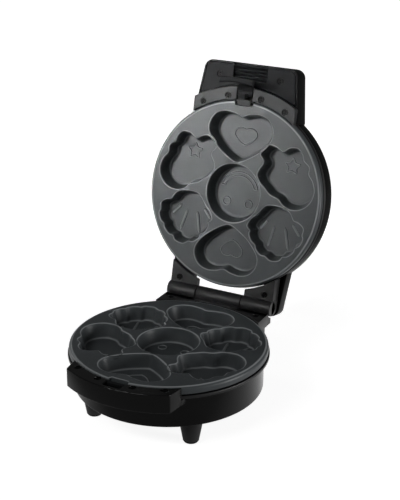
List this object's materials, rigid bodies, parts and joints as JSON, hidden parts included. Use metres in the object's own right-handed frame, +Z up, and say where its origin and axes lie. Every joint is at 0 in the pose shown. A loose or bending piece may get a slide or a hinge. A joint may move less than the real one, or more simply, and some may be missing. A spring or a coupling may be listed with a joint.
{
  "type": "donut maker",
  "caption": "Round clamshell maker for small shaped cakes: drum base on feet, hinged lid with hand grip, matching welled plates and a sprung latch.",
  "frame": {"origin": "centre of the open appliance's outline on the table, at the pads' undersides", "axes": "+Z up, -Y towards the hand grip of the base, +Y towards the hinge, X along the hinge"},
  "size_m": [0.209, 0.3259, 0.3267],
  "materials": {
    "satin_black": "satin",
    "gloss_black": "glossy",
    "plate_coating": "non-stick satin",
    "dark_trim": "semi-gloss",
    "steel": "brushed",
    "aluminium": "plain",
    "heater_sheath": "oxidised",
    "rubber": "matt",
    "ceramic": "matt",
    "brass": "plain",
    "red_lens": "clear",
    "green_lens": "clear"
  },
  "bodies": {
    "base": {"base_drum": "gloss_black", "base_cover": "satin_black", "cover_screws": "steel", "base_bezel": "dark_trim", "base_handle": "gloss_black", "base_handle_screws": "steel", "latch_keeper": "steel", "hinge_bracket": "satin_black", "bracket_screws": "steel", "hinge_pin": "steel", "lower_plate": "plate_coating", "lower_studs": "steel", "lower_heater": "heater_sheath", "lower_reflector": "aluminium", "thermostat": "ceramic", "thermal_fuse": "brass", "terminal_block": "ceramic", "cord_gland": "rubber", "front_feet": "satin_black", "rear_feet": "satin_black", "foot_pads": "rubber", "foot_screws": "steel"},
    "lid": {"lid_shell": "satin_black", "lid_bezel": "dark_trim", "lid_strip": "dark_trim", "strip_screws": "steel", "grip_cover": "satin_black", "grip_screws": "steel", "hinge_leaf_left": "dark_trim", "hinge_leaf_right": "dark_trim", "leaf_screws": "steel", "upper_plate": "plate_coating", "upper_studs": "steel", "upper_heater": "heater_sheath", "upper_reflector": "aluminium", "power_lens": "red_lens", "ready_lens": "green_lens", "indicator_lamps": "ceramic", "latch_pin": "steel", "latch_spring": "steel"},
    "latch": {"latch_lever": "dark_trim"}
  },
  "joints": [
    {"name": "lid_hinge", "type": "hinge", "parent": "base", "child": "lid", "pos_m": [0, 0.07144, 0.0765], "axis": [1, 0, 0], "range_deg": [0, 103.6]},
    {"name": "latch_pivot", "type": "hinge", "parent": "lid", "child": "latch", "pos_m": [0, 0.12732, 0.29643], "axis": [-1, 0, 0], "range_deg": [0, 18], "stiffness_Nm_per_rad": 0.06, "springref_deg": -11.46}
  ]
}
